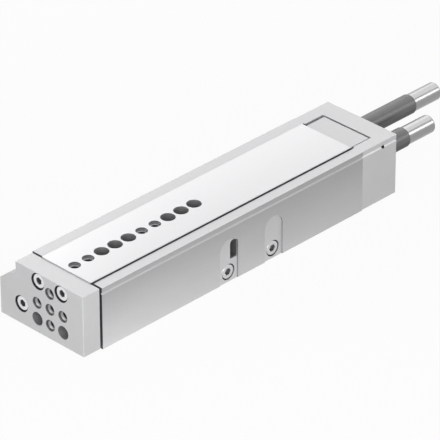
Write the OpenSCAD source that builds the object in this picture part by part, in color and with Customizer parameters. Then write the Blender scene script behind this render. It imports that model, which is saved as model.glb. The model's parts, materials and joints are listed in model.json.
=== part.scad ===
// Pneumatic slide table: a ball-cage guided slide driven by a cylinder in the foot of its housing.
// Millimetres. +X is the way the table advances, +Z is up, z = 0 is the mounting face.
// y = 0 is the centre plane of the slide, x = 0 the line through the front mounting holes.
// A "drop" is a height measured down from the top of the rails.

/* [Stroke and profile] */
// Travel of the table
stroke = 100; // [60:1:104]
// Length of the housing profile
housing_len = 202.5; // [198:0.5:230]
// Distance from the housing's front face back to the datum line
datum_back = 20; // [19:0.5:26]
// Height of the housing over its rails
housing_h = 38.6; // [35:0.1:42]
// Centre plane to the right side of the housing
side_right = 26; // [25.5:0.1:28]
// Centre plane to the left side of the upper housing
side_left = 27.8; // [26.5:0.1:28.5]
// Centre plane to the outer side of the foot
foot_side = 39.2; // [38.8:0.1:41]
// Drop of the edge between the foot's bevel and its sloping top
foot_drop = 9.8; // [9.4:0.1:10.2]
// Slope of the foot's top, in degrees
foot_slope = 22.5; // [15:0.5:25]
// Width of the foot's bevel
foot_bevel_w = 6.4; // [4:0.1:6.6]
// Height of the foot's bevel
foot_bevel_h = 5.4; // [3:0.1:6]
// Broken edges of the machined blocks
edge_break = 0.2; // [0.1:0.05:0.4]
// Drop of the side groove's middle
groove_drop = 3.8; // [3.4:0.1:5]
// Width of the side groove's mouth
groove_w = 1.5; // [0.8:0.1:2]
// Width of the side groove's floor
groove_floor_w = 0.2; // [0.1:0.1:0.6]
// Depth of the side groove
groove_d = 0.8; // [0.4:0.1:1]

/* [Slide and guide] */
// Width of the slide
slide_w = 38; // [36.8:0.1:38.2]
// Thickness of the slide
slide_t = 12; // [11.8:0.1:12.2]
// How far the slide stands above the rails
slide_rise = 0.95; // [0.5:0.05:1.2]
// How far the slide's rear end stops short of the housing's rear face
slide_setback = 2.5; // [1.5:0.1:4]
// Gap between the slide and a rail, where the balls run
side_gap = 0.7; // [0.6:0.05:0.9]
// Clearance under the slide
under_gap = 0.6; // [0.4:0.1:0.8]
// Diameter of the balls
ball_d = 4; // [3.6:0.1:4.4]
// Distance from ball to ball
ball_pitch = 5.4; // [5:0.1:7]
// Radial clearance of the balls in their raceways and cage
ball_gap = 0.03; // [0.02:0.01:0.05]
// Thickness of a hardened rail strip
strip_w = 2.6; // [2.4:0.1:3]
// Height of a hardened rail strip
strip_h = 9.2; // [8.4:0.1:9.4]
// Housing lip above a rail strip
lip_h = 1.4; // [1.2:0.1:1.8]
// Thickness of a ball cage
cage_t = 0.4; // [0.3:0.05:0.5]
// Height of a ball cage
cage_h = 7.6; // [6.5:0.1:8]
// Way left over for a cage at each end of its travel
cage_margin = 2; // [1:0.5:6]

/* [Table holes] */
// Distance between neighbouring holes
hole_pitch = 10; // [9.6:0.1:11]
// Slide's front end to its first hole
first_hole = 6.35; // [6.2:0.05:8]
// Thread size of the fixing holes
fix_thread = 6; // [5:1:6]
// Mouth of a threaded hole
fix_mouth = 6.9; // [6.5:0.1:7.2]
// Depth of the fixing threads
fix_depth = 9; // [7:0.5:10]
// Diameter of the plain pilot holes in the slide
pilot_d = 8.6; // [8:0.1:9]
// Depth of the plain pilot holes
pilot_depth = 9; // [5:0.5:10]
// Diameter of the yoke's plain pilot holes
yoke_pilot_d = 8; // [7.5:0.1:8.4]
// Drop of the middle hole in the yoke
yoke_mid_drop = 18.9; // [18.6:0.1:19.4]

/* [Yoke plate] */
// Thickness of the yoke plate
yoke_t = 12.35; // [11:0.05:13]
// Gap between the yoke plate and the housing
yoke_gap = 1.5; // [1:0.05:3]
// Yoke's right side, set in from the housing's
yoke_in_right = 0.2; // [0.2:0.05:1]
// Yoke's step, set in from the housing's left side
yoke_in_left = 1.5; // [0.5:0.05:1.8]
// Yoke's bottom edge above the mounting face
yoke_lift = 1; // [0.5:0.1:1.2]
// Yoke's top edge above the rails
yoke_rise = 0.25; // [0.2:0.05:0.5]
// Thread size of the yoke screws
yoke_thread = 5; // [4:1:5]
// Drop of the two yoke screws in the slide
yoke_screw_drop = 5.1; // [5.1:0.1:5.4]
// Half the distance between those two screws
yoke_screw_y = 9; // [8.6:0.1:10]

/* [Screws, seats and slits] */
// How far a screw head lies below the face over it
head_sink = 0.8; // [0.4:0.1:1]
// Gap round a screw's shank
shank_gap = 0.2; // [0.1:0.05:0.3]
// Room left at a screw's tip
tip_room = 0.5; // [0.3:0.1:0.8]
// Thread size of the small screws in cap and plate
small_thread = 3; // [3:1:3]
// Clearance of parts that sit fixed in a seat
seat_gap = 0.05; // [0.03:0.01:0.08]
// Cord diameter of the still O-rings
cord_d = 1.6; // [1.4:0.1:1.8]
// Width of the clamping slits
slit_w = 1; // [0.6:0.1:1.4]
// How far a slit runs past its clamp screw
slit_reach = 4.2; // [3:0.1:4.6]

/* [Cylinder] */
// Bore of the cylinder
bore_d = 16; // [15:0.5:16]
// Cylinder axis left of the centre plane
cyl_left = 22.4; // [22:0.1:23]
// Drop of the cylinder axis
cyl_drop = 24.9; // [24.5:0.1:25.4]
// Diameter of the piston rod
rod_d = 8; // [7:0.5:8]
// Radial clearance of the rod in its bearing
rod_gap = 0.03; // [0.02:0.01:0.06]
// Depth of the tapped holes in the rod's ends
rod_tap_l = 12; // [9:0.5:16]
// Length of the piston
piston_l = 16; // [15.6:0.2:20]
// Gap behind the piston at rest
piston_rear_gap = 1; // [0.5:0.1:3]
// Radial clearance of the piston in its bore
piston_gap = 0.15; // [0.1:0.01:0.3]
// Width of a seal groove in the piston
seal_w = 3; // [2.6:0.1:3.2]
// Depth of the grooves in the piston
seal_depth = 2.4; // [2:0.1:2.4]
// Wall of the piston outside a seal groove
seal_wall = 1.4; // [1.2:0.1:1.6]
// Width of the magnet's groove
magnet_w = 4; // [3:0.1:4.2]
// How far the magnet lies below the bore
magnet_sink = 0.4; // [0.3:0.1:0.8]
// Taper of a piston seal behind its lip
lip_t = 0.5; // [0.3:0.1:0.8]
// Diameter of the rod bearing's seat in the housing
bearing_d = 18; // [17.5:0.1:18.4]
// Length of the rod bearing
bearing_l = 12.5; // [11.5:0.5:15]
// Depth of the bearing's front face in the housing
bearing_sink = 2.3; // [2.2:0.1:3]
// Bearing's front face to its O-ring
bearing_ring_back = 5.8; // [4.5:0.1:7]
// Wall thickness of the rod's seal and wiper
rod_seal_t = 2; // [1.6:0.1:2.2]
// Length of the rod seal
rod_seal_l = 3.2; // [2.6:0.1:3.6]
// Length of the rod wiper
wiper_l = 2; // [1.6:0.1:2.4]
// Thickness of the bearing's circlip
circlip_t = 1; // [0.8:0.1:1.2]
// Width of the circlip's band
circlip_w = 1.8; // [1.6:0.1:2.2]
// How deep the circlip's groove is in the housing
circlip_grip = 0.6; // [0.4:0.1:0.8]
// Gap between the circlip's ends
circlip_open = 2; // [1.6:0.1:3]
// Diameter of the circlip's ears
ear_d = 3.2; // [2.8:0.1:3.4]
// Diameter of the eyes in the ears
eye_d = 1.3; // [1:0.1:1.5]
// Length of the cap's spigot in the bore
spigot_l = 5; // [4.6:0.2:7]

/* [Air ways] */
// Diameter of the air channel beside the bore
air_d = 2.4; // [2:0.1:2.6]
// Air channel, right of the foot's outer side
air_in = 6.9; // [6.7:0.1:7.1]
// Air channel above the cylinder axis
air_rise = 4.8; // [4.5:0.1:5.2]
// Rod bearing back to the air channel's cross drilling
air_cross_back = 3; // [2:0.1:5]
// Mouth of the cross drilling, where its ball sits
cross_mouth_d = 3.1; // [2.8:0.1:3.4]
// Depth of that mouth
cross_mouth_l = 4; // [3.5:0.1:6]
// Depth of a ball that closes a drilling
plug_sink = 3; // [2:0.1:3.2]
// Thread size of the air ports
port_thread = 5; // [5:1:5]
// Depth of the port threads
port_depth = 5.5; // [5:0.1:5.7]
// Cap's joint back to the front chamber's port
front_port_back = 7; // [6:0.5:9]
// Length of a port plug
port_plug_l = 4; // [3.5:0.1:4.2]
// Depth of a port plug in its port
port_plug_sink = 1; // [0.5:0.1:1.2]
// Key width of a port plug
port_plug_key = 2.5; // [2:0.5:2.5]
// Diameter of the sensor slot
sensor_slot_d = 4; // [3.4:0.1:4]
// Width of the sensor slot's mouth
sensor_mouth_w = 2.6; // [2:0.1:3]
// Depth of the sensor slot's centre line
sensor_in = 2.5; // [2.2:0.1:2.8]

/* [Rear cap] */
// Length of the rear cap
cap_len = 28; // [25:0.5:32]
// How far the cap is set in from the housing all round
cap_inset = 0.25; // [0.2:0.05:0.7]
// Height of the three low cap screws
cap_screw_z = 5.5; // [5:0.1:5.8]
// Middle one of them, left of the centre plane
cap_screw_mid = 6; // [4:0.5:8]
// Right one of them, right of the centre plane
cap_screw_right = 21.2; // [20.8:0.1:21.4]
// Upper cap screw above the cylinder axis
cap_screw_rise = 11.9; // [11.4:0.1:12.1]
// Cap's clamp screw: its seat below the absorber axes
clamp_seat_below = 11; // [10:0.5:14]
// Key hole under the stop plate's clamp screw
key_hole_d = 5; // [4:0.5:5.5]
// Gap of the cap's window at the left of the plate
window_left_gap = 2.4; // [1:0.1:2.6]
// Gap of the cap's window at the right of the plate
window_right_gap = 0.3; // [0.3:0.1:0.7]
// Gap of the cap's window behind the plate
window_rear_gap = 1.8; // [0.5:0.1:2]
// Cap's joint back to the small side drilling
side_drill_back = 17; // [16:0.5:18]
// Diameter of the small side drilling
side_drill_d = 2.4; // [2:0.1:2.6]
// Depth of the small side drilling
side_drill_l = 6; // [5:0.5:6.5]
// Small side drilling above the side groove's middle
side_drill_rise = 0; // [-0.4:0.1:0.6]

/* [Stop plate] */
// Length of the stop plate behind the slide
plate_t = 15.7; // [13.5:0.1:17]
// Stop plate's left edge, left of the centre plane
plate_left = 16.6; // [16.2:0.1:16.8]
// Stop plate's right edge, right of the centre plane
plate_right = 17.9; // [17.6:0.1:18]
// Stop plate's top above the rails
plate_rise = 0.1; // [0:0.05:0.3]
// Clearance under and left of the stop plate in the housing
plate_gap = 0.6; // [0.4:0.05:0.8]
// Clearance right of the stop plate in the housing
plate_right_gap = 1.8; // [1.2:0.1:2]
// Drop of the stop plate's screws
plate_screw_drop = 4.1; // [4:0.1:4.3]
// Left one of them, left of the centre plane
plate_screw_left = 12.3; // [12:0.1:12.4]
// Middle one of them, right of the centre plane
plate_screw_mid = 3; // [2:0.1:4]
// Right one of them, right of the centre plane
plate_screw_right = 14; // [13.6:0.1:14.4]

/* [Absorbers] */
// Drop of both absorber axes
absorber_drop = 13.4; // [13.3:0.1:13.6]
// Advance absorber's axis, left of the centre plane
advance_left = 8.5; // [8.2:0.1:8.7]
// Retract absorber's axis, right of the centre plane
retract_right = 15; // [14.6:0.1:15.2]
// Outer diameter of a stop sleeve
sleeve_d = 12; // [12:0.1:12.4]
// Length of the advance stop sleeve
advance_sleeve_l = 79.4; // [70:0.1:90]
// Length of the retract stop sleeve
retract_sleeve_l = 32.4; // [32:0.1:45]
// Gap round the advance sleeve where it runs free
sleeve_pass_gap = 0.5; // [0.3:0.1:0.6]
// Broken edges of a sleeve, and how deep its tapered end goes
sleeve_break = 0.4; // [0.2:0.1:0.4]
// Length of a sleeve's tapered end
taper_l = 0.9; // [0.5:0.1:2]
// Outer diameter of the absorber's body
absorber_d = 11; // [10:0.1:11]
// How far the absorber stands out of its sleeve
tail_out = 21.6; // [14:0.1:26]
// Rounding of the absorber's rear end
tail_round = 1.2; // [0.6:0.1:2]
// Key width and depth of the socket in that end
tail_key = 4; // [3:0.5:4.5]
// Diameter of the absorber's plunger
plunger_d = 4; // [3:0.1:4.2]
// Stroke of the plunger
plunger_stroke = 8; // [5:0.5:9]
// Length of the plunger
plunger_l = 18; // [16:0.5:20]
// Room behind the plunger when it is pushed in
plunger_room = 3; // [1:0.5:5]
// Radial clearance of the plunger
plunger_gap = 0.05; // [0.03:0.01:0.08]
// Gap round the plunger in the sleeve's nose
nose_gap = 0.3; // [0.2:0.05:0.5]
// Thickness of the sleeve's nose, the hard stop
nose_t = 3; // [2.5:0.1:4]
// How far the advance sleeve stands ahead of the stop plate
nose_out = 0.5; // [0.5:0.1:1.5]
// Room left between a stop sleeve and the face that it stops
stop_gap = 0.05; // [0.03:0.01:0.1]

/* [Inner stop] */
// Thickness of the stop bar's upright
upright_t = 7.2; // [6.5:0.1:8]
// Distance between the two pocket screws
pocket_pitch = 35; // [32:0.5:38]
// Thread size of the pocket screws
pocket_thread = 5; // [4:1:5]
// How far their heads lie below the pocket's floor
pocket_sink = 0.4; // [0.2:0.1:0.8]
// Width of the side pockets
pocket_w = 14; // [13:0.1:15]
// Drop of the side pockets' tops
pocket_drop = 11.4; // [10.8:0.1:12]
// Depth of the front side pocket
front_pocket_d = 0.6; // [0.4:0.1:1.4]
// Depth of the rear side pocket
rear_pocket_d = 0.7; // [0.5:0.1:1.8]
// Height of the pocket screws
pocket_screw_z = 6.2; // [6:0.1:7]
// Right side of the stop bar
bar_right = 16; // [15.5:0.1:16.3]
// Width of the stop bar
bar_w = 11; // [10:0.5:12]
// Bottom of the stop bar
bar_z = 3; // [2.5:0.1:3.2]
// Stop bar behind its rear screw
bar_past = 6; // [5:0.5:8]
// Clearance round the stop bar
bar_gap = 0.3; // [0.2:0.05:0.4]
// Width of the window slot in the front pocket
slot_w = 5.6; // [5:0.1:6.6]
// Bottom of the window slot
slot_z = 13.9; // [13.5:0.1:15]
// Slot's top below the pocket's top
slot_below = 1.7; // [0.6:0.1:2]
// Corner radius at the slot's top
slot_r = 2.2; // [1:0.1:2.4]

/* [Mounting holes] */
// Thread size of the mounting holes in the base
base_thread = 5; // [5:1:5]
// Depth of the mounting threads
base_depth = 7.5; // [6:0.5:7.5]
// Distance between the holes of one group along the base
base_pitch = 40; // [38:1:44]
// Distance from the front group to the rear group
base_group_step = 120; // [119:1:122]
// Right row of mounting holes
base_right = 21; // [20.5:0.1:21.5]
// Left row of mounting holes
base_left = 34.5; // [34:0.1:34.8]
// Diameter of the locating holes in the base
locate_d = 5; // [4:0.5:5]
// Depth of the locating holes
locate_depth = 6; // [5:0.5:7]

/* [Hidden] */
$fn = 64;
// Overlap of a cut beyond the solid it cuts, and of two joined pieces of one solid
cut = 1;

// Metric screws: pitch, tapping size, head, counterbore and key by thread size
function pitch(m) = lookup(m, [[3, 0.5], [4, 0.7], [5, 0.8], [6, 1]]);
function tap_d(m) = m - pitch(m);
function head_d(m) = lookup(m, [[3, 5.5], [4, 7], [5, 8.5], [6, 10]]);
function counterbore_d(m) = lookup(m, [[3, 6.5], [4, 8], [5, 10], [6, 11]]);
function key_w(m) = lookup(m, [[3, 2.5], [4, 3], [5, 4], [6, 5]]);
function key_l(m) = 0.55 * m;
function engaged(m) = 1.6 * m;
function mouth_d(m) = 1.08 * m;

// Stations along X: back(d) lies d behind the housing's front face
function back(d) = datum_back - d;
slide_rear = housing_len - slide_setback;
slide_front_x = back(-yoke_gap);
slide_rear_x = back(slide_rear);
yoke_front_x = slide_front_x + yoke_t;
yoke_seat_x = yoke_front_x - yoke_thread - head_sink;
plate_rear = slide_rear + plate_t;
plate_mid = slide_rear + plate_t / 2;
plate_seat = plate_rear - small_thread - head_sink;
window_rear = plate_rear + window_rear_gap;
cap_rear = housing_len + cap_len;
cap_seat = cap_rear - small_thread - head_sink;
wall_mid = (window_rear + cap_rear) / 2;
advance_front = slide_rear - nose_out;
retract_front = plate_rear + stop_gap;
stop_face = advance_front - stroke - stop_gap;
stop_front = stop_face - upright_t;
front_pocket = stop_face - upright_t / 2;
rear_pocket = front_pocket + pocket_pitch;
bar_rear = rear_pocket + bar_past;
piston_rear = housing_len - spigot_l - piston_rear_gap;
piston_front = piston_rear - piston_l;
piston_seat = piston_rear - yoke_thread - edge_break;
bearing_rear = bearing_sink + bearing_l;
air_cross = bearing_rear + air_cross_back;
front_port_x = back(housing_len + front_port_back);
rear_port_x = back(wall_mid);
side_drill_x = back(housing_len + side_drill_back);

// Heights
foot_h = housing_h - foot_drop;
groove_z = housing_h - groove_drop;
slide_top = housing_h + slide_rise;
slide_bottom = slide_top - slide_t;
strip_top = housing_h - lip_h;
race_z = strip_top - strip_h / 2;
yoke_top = housing_h + yoke_rise;
yoke_mid_z = housing_h - yoke_mid_drop;
yoke_screw_z = housing_h - yoke_screw_drop;
cyl_z = housing_h - cyl_drop;
air_z = cyl_z + air_rise;
absorber_z = housing_h - absorber_drop;
pocket_top = housing_h - pocket_drop;
slot_top = pocket_top - slot_below;
plate_top = housing_h + plate_rise;
bar_top = slide_bottom - under_gap;

// Places and sizes across the profile
cyl_y = -cyl_left;
air_y = air_in - foot_side;
sensor_y = sensor_in - foot_side;
rail_in = slide_w / 2 + side_gap;
race_y = slide_w / 2 + side_gap / 2;
race_d = ball_d + 2 * ball_gap;
plate_wall = plate_left - advance_left;
plate_bottom = absorber_z - plate_wall;
channel_r = plate_wall + plate_gap;
channel_floor = absorber_z - channel_r;
window_right = plate_right + window_right_gap;
sleeve_hole_d = sleeve_d + 2 * seat_gap;
sleeve_pass_d = sleeve_d + 2 * sleeve_pass_gap;
yoke_right = side_right - yoke_in_right;
yoke_step = side_left - yoke_in_left;
clamp_y = (retract_right - advance_left) / 2;
cap_clamp_z = absorber_z - clamp_seat_below;
plate_clamp_z = plate_bottom + small_thread + edge_break;
locate_y = (base_right - base_left) / 2;
seal_d = rod_d + 2 * rod_seal_t;
groove_floor_d = bore_d - 2 * seal_depth;
ring_t = cord_d + 2 * seat_gap;
ring_w = 1.4 * cord_d;

// Holes along the slide, counted from its front: threads and plain pilots
thread_at = [0, 1, 5, 6];
pilot_at = [2, 3, 4, 7, 8, 9];
// Grooves of the piston, as [distance from its rear face, width]
seal_at = [seal_wall, piston_l - seal_w - seal_wall];
magnet_at = (piston_l - magnet_w) / 2;
// Cap and plate screws, as [y, z]
cap_screw_at = [[-base_left, cap_screw_z], [-cap_screw_mid, cap_screw_z],
    [cap_screw_right, cap_screw_z], [cyl_y, cyl_z + cap_screw_rise]];
plate_screw_z = housing_h - plate_screw_drop;
plate_screw_at = [[-plate_screw_left, plate_screw_z], [plate_screw_mid, plate_screw_z],
    [plate_screw_right, plate_screw_z]];

// ---- helpers ----

// Corner points of a rectangle
function box(a0, a1, b0, b1) = [[a0, b0], [a1, b0], [a1, b1], [a0, b1]];

// The same outline with every corner broken by c
function broken(pts, c) = let (n = len(pts)) [
    for (i = [0:n - 1], side = [-1, 1])
        let (p = pts[i], q = pts[(i + side + n) % n])
            p + c * (q - p) / norm(q - p)
];

// How far the foot's top rises towards a wall at that distance left of the centre plane
function foot_rise(wall) = (foot_side - foot_bevel_w - wall) * tan(foot_slope);

// Outline of housing and cap seen along X, drawn in by `inset`
function profile(inset) = [
    [-foot_side + inset, inset],
    [side_right - inset, inset],
    [side_right - inset, housing_h - inset / 2],
    [-side_left + inset, housing_h - inset / 2],
    [-side_left + inset, foot_h - inset / 2 + foot_rise(side_left)],
    [-foot_side + foot_bevel_w + inset / 2, foot_h - inset / 2],
    [-foot_side + inset, foot_h - foot_bevel_h - inset / 2]
];

// A section drawn in (Y, Z), run along X from station `rear` forward to station `front`
module along_x(rear, front)
    translate([back(rear), 0, 0]) rotate([90, 0, 90]) linear_extrude(rear - front) children();

// A section drawn in (X, Z), run along Y
module along_y(y0, y1)
    translate([0, y1, 0]) rotate([90, 0, 0]) linear_extrude(y1 - y0) children();

// A section drawn in (X, Y), run along Z
module along_z(z0, z1)
    translate([0, 0, z0]) linear_extrude(z1 - z0) children();

// Block between two stations along X
module block(rear, front, y0, y1, z0, z1)
    translate([back(rear), y0, z0]) cube([rear - front, y1 - y0, z1 - z0]);

// Round bar or bore along X between two stations
module rod_x(rear, front, y, z, d)
    translate([back(rear), y, z]) rotate([0, 90, 0]) cylinder(d = d, h = rear - front);

// Ring along X between two stations
module ring_x(rear, front, y, z, outer, inner)
    difference() {
        rod_x(rear, front, y, z, outer);
        rod_x(rear + cut, front - cut, y, z, inner);
    }

// Hexagonal socket, its mouth at z = 0 and its floor below
module socket(across, depth)
    translate([0, 0, -depth]) cylinder(d = across / cos(30), h = depth + cut, $fn = 6);

// Socket head cap screw: seat at z = 0, head above, plain shank then thread core below
module cap_screw(m, grip)
    difference() {
        union() {
            cylinder(d = head_d(m), h = m - edge_break);
            translate([0, 0, m - edge_break])
                cylinder(d1 = head_d(m), d2 = head_d(m) - 2 * edge_break, h = edge_break);
            translate([0, 0, -grip]) cylinder(d = m, h = grip + cut);
            translate([0, 0, -grip - engaged(m)])
                cylinder(d = tap_d(m) - 2 * seat_gap, h = engaged(m) + cut);
        }
        translate([0, 0, m]) socket(key_w(m), key_l(m));
    }

// Bore for a cap screw: seat at z = 0, head room above, free hole below
module screw_bore(m, head_room, grip) {
    cylinder(d = counterbore_d(m), h = head_room);
    translate([0, 0, -grip]) cylinder(d = m + 2 * shank_gap, h = grip + cut);
}

// Drilling for a screw's thread, its mouth at z = 0
module screw_tap(m)
    translate([0, 0, -engaged(m) - tip_room])
        cylinder(d = tap_d(m), h = engaged(m) + tip_room + cut);

// Threaded hole drawn at its tap size with a countersunk mouth: mouth at z = 0
module tapped_hole(m, depth, mouth) {
    translate([0, 0, -depth]) cylinder(d = tap_d(m), h = depth + cut);
    mouth_h = (mouth - tap_d(m)) / 2;
    translate([0, 0, -mouth_h]) cylinder(d1 = tap_d(m), d2 = mouth, h = mouth_h);
    cylinder(d = mouth, h = cut);
}

// Still O-ring along X with its middle at a station, in a bore of `outer`
module o_ring(station, y, z, outer)
    translate([back(station), y, z]) rotate([0, 90, 0]) rotate_extrude()
        translate([(outer - ring_t) / 2, 0]) circle(d = cord_d, $fn = 32);

// The groove of such a ring
module ring_groove(station, y, z, outer)
    ring_x(station + ring_w / 2, station - ring_w / 2, y, z, outer + 2 * cut, outer - 2 * ring_t);

// Turn children that stand on z = 0 so that they face +X, -X, +Y, -Y or down
module face_front(x, y, z) translate([x, y, z]) rotate([0, 90, 0]) children();
module face_rear(x, y, z) translate([x, y, z]) rotate([0, -90, 0]) children();
module face_right(x, y, z) translate([x, y, z]) rotate([-90, 0, 0]) children();
module face_left(x, y, z) translate([x, y, z]) rotate([90, 0, 0]) children();
module face_down(x, y, z) translate([x, y, z]) rotate([180, 0, 0]) children();

// ---- housing ----

module side_groove(inset)
    translate([side_right - inset, groove_z])
        polygon([[cut, groove_w / 2], [0, groove_w / 2], [-groove_d, groove_floor_w / 2],
            [-groove_d, -groove_floor_w / 2], [0, -groove_w / 2], [cut, -groove_w / 2]]);

// Section of the space that the stop plate travels in, below the slide
module lower_channel(right) {
    translate([-advance_left, absorber_z]) circle(r = channel_r);
    translate([-advance_left, channel_floor])
        square([advance_left + right, slide_bottom - channel_floor]);
    translate([-advance_left - channel_r, absorber_z])
        square([advance_left + channel_r + right, slide_bottom - absorber_z]);
}

module rail_seats()
    for (s = [-1, 1])
        translate([s * (rail_in + strip_w / 2 - cut / 2), race_z])
            square([strip_w + cut, strip_h], center = true);

module sensor_slot() {
    translate([sensor_y, cyl_z]) circle(d = sensor_slot_d);
    translate([-foot_side - cut, cyl_z - sensor_mouth_w / 2])
        square([sensor_in + cut, sensor_mouth_w]);
}

module housing_section()
    difference() {
        polygon(broken(profile(0), edge_break));
        translate([-rail_in, slide_bottom - under_gap]) square([2 * rail_in, housing_h]);
        rail_seats();
        translate([cyl_y, cyl_z]) circle(d = bore_d);
        sensor_slot();
        side_groove(0);
    }

module pocket(station, depth)
    along_y(side_right - depth, side_right + cut) {
        translate([back(station), pocket_top - pocket_w / 2]) circle(d = pocket_w);
        translate([back(station) - pocket_w / 2, -cut])
            square([pocket_w, pocket_top - pocket_w / 2 + cut]);
    }

module window_slot()
    along_y(bar_right, side_right + cut)
        translate([back(front_pocket + pocket_w / 2), 0]) {
            translate([0, slot_z]) square([slot_w, slot_top - slot_r - slot_z]);
            translate([slot_r, slot_z]) square([slot_w - 2 * slot_r, slot_top - slot_z]);
            for (x = [slot_r, slot_w - slot_r]) translate([x, slot_top - slot_r]) circle(r = slot_r);
        }

// Seat of a pocket screw in the housing wall, for a pocket of that depth
function pocket_seat(depth) = side_right - depth - pocket_thread - pocket_sink;
pocket_at = [[front_pocket, front_pocket_d], [rear_pocket, rear_pocket_d]];

module housing()
    color("#c9cbce") difference() {
        along_x(housing_len, 0) housing_section();
        along_x(housing_len + cut, stop_front) lower_channel(plate_right + plate_right_gap);
        // room of the stop bar below the channel
        block(bar_rear + bar_gap, stop_front, bar_right - bar_w - bar_gap, bar_right,
            bar_z, absorber_z);
        window_slot();
        for (p = pocket_at) {
            pocket(p[0], p[1]);
            face_right(back(p[0]), pocket_seat(p[1]), pocket_screw_z)
                screw_bore(pocket_thread, 2 * pocket_thread, pocket_seat(p[1]) - bar_right + cut);
        }
        // seat of the rod bearing and groove of its circlip
        rod_x(bearing_rear, -cut, cyl_y, cyl_z, bearing_d);
        rod_x(bearing_sink, bearing_sink - circlip_t - 2 * seat_gap, cyl_y, cyl_z,
            bearing_d + 2 * circlip_grip);
        // air channel to the front chamber, with its cross drilling
        rod_x(housing_len + cut, air_cross, air_y, air_z, air_d);
        face_left(back(air_cross), cyl_y, air_z) cylinder(d = air_d, h = foot_side - cyl_left);
        face_left(back(air_cross), cross_mouth_l - foot_side, air_z)
            cylinder(d = cross_mouth_d, h = cross_mouth_l + cut);
        // mounting threads and locating holes in the base
        for (g = [0, 1], i = [0, 1], y = [-base_left, base_right])
            face_down(-g * base_group_step - i * base_pitch, y, 0)
                tapped_hole(base_thread, base_depth, mouth_d(base_thread));
        for (g = [0, 1])
            face_down(-g * base_group_step - base_pitch / 2, locate_y, 0)
                translate([0, 0, -locate_depth]) cylinder(d = locate_d, h = locate_depth + cut);
        // tapped holes for the cap screws
        for (p = cap_screw_at)
            face_rear(back(housing_len), p[0], p[1]) screw_tap(small_thread);
    }

module guide_rail(s)
    color("#9a9da2") difference() {
        translate([back(housing_len), s * (rail_in + strip_w / 2) - strip_w / 2,
            race_z - strip_h / 2]) cube([housing_len, strip_w, strip_h]);
        rod_x(housing_len + cut, -cut, s * race_y, race_z, race_d);
    }

module guide_rail_left() guide_rail(-1);
module guide_rail_right() guide_rail(1);

// The upright fills the channel that the stop plate travels in
module upright_section() {
    r = channel_r - bar_gap;
    intersection() {
        union() {
            translate([-advance_left, absorber_z]) circle(r = r);
            translate([-advance_left - r, absorber_z])
                square([advance_left + r + bar_right, bar_top - absorber_z]);
            translate([-advance_left, channel_floor + seat_gap])
                square([advance_left + bar_right, bar_top - channel_floor - seat_gap]);
        }
        translate([-foot_side, 0]) square([2 * foot_side, bar_top]);
    }
}

module stop_bar()
    color("#75787d") difference() {
        union() {
            block(bar_rear, stop_front, bar_right - bar_w, bar_right,
                bar_z, channel_floor - seat_gap);
            block(stop_face, stop_front, bar_right - bar_w, bar_right, bar_z, absorber_z);
            along_x(stop_face, stop_front) upright_section();
        }
        for (p = pocket_at)
            face_right(back(p[0]), bar_right, pocket_screw_z) screw_tap(pocket_thread);
    }

module pocket_screws()
    color("#8f9297") for (p = pocket_at)
        face_right(back(p[0]), pocket_seat(p[1]), pocket_screw_z)
            cap_screw(pocket_thread, pocket_seat(p[1]) - bar_right);

// ---- rod bearing and cylinder ----

module rod_bearing()
    color("#b08d57") difference() {
        rod_x(bearing_rear, bearing_sink, cyl_y, cyl_z, bearing_d - 2 * seat_gap);
        rod_x(bearing_rear + cut, bearing_sink - cut, cyl_y, cyl_z, rod_d + 2 * rod_gap);
        rod_x(bearing_rear + cut, bearing_rear - rod_seal_l - 2 * seat_gap, cyl_y, cyl_z, seal_d);
        rod_x(bearing_sink + wiper_l + 2 * seat_gap, bearing_sink - cut, cyl_y, cyl_z, seal_d);
        ring_groove(bearing_sink + bearing_ring_back, cyl_y, cyl_z, bearing_d);
    }

// Rubber ring between rod and bearing, from `front` back over its length
module rod_ring(front, l)
    color("#1e1f21")
        ring_x(front + l, front, cyl_y, cyl_z, seal_d - 2 * seat_gap, rod_d + 2 * seat_gap);

module rod_seal() rod_ring(bearing_rear - rod_seal_l - seat_gap, rod_seal_l);
module rod_wiper() rod_ring(bearing_sink + seat_gap, wiper_l);

module bearing_o_ring()
    color("#1e1f21") o_ring(bearing_sink + bearing_ring_back, cyl_y, cyl_z, bearing_d);

module bearing_circlip() {
    r = bearing_d / 2 + circlip_grip - 2 * seat_gap;
    ear = [circlip_open / 2 + ear_d / 2, circlip_w - r + ear_d / 4];
    color("#8f9297") along_x_at(bearing_sink - seat_gap - circlip_t, circlip_t) difference() {
        union() {
            circle(r = r);
            for (s = [-1, 1]) translate([s * ear[0], ear[1]]) circle(d = ear_d);
        }
        difference() {
            circle(r = r - circlip_w);
            for (s = [-1, 1]) translate([s * ear[0], ear[1]]) circle(d = ear_d);
        }
        translate([-circlip_open / 2, -2 * r]) square([circlip_open, 2 * r]);
        for (s = [-1, 1]) translate([s * ear[0], ear[1]]) circle(d = eye_d);
    }
}

// A section drawn about the cylinder axis, run back from a station
module along_x_at(front, l)
    translate([back(front + l), cyl_y, cyl_z]) rotate([90, 0, 90]) linear_extrude(l) children();

module cap_o_ring()
    color("#1e1f21") o_ring(housing_len - spigot_l / 2, cyl_y, cyl_z, bore_d);

module piston_rod()
    color("#d8dadd") difference() {
        rod_x(piston_front, -yoke_gap, cyl_y, cyl_z, rod_d);
        rod_x(piston_front + cut, piston_front - rod_tap_l, cyl_y, cyl_z, tap_d(yoke_thread));
        rod_x(rod_tap_l - yoke_gap, -yoke_gap - cut, cyl_y, cyl_z, tap_d(yoke_thread));
    }

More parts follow.
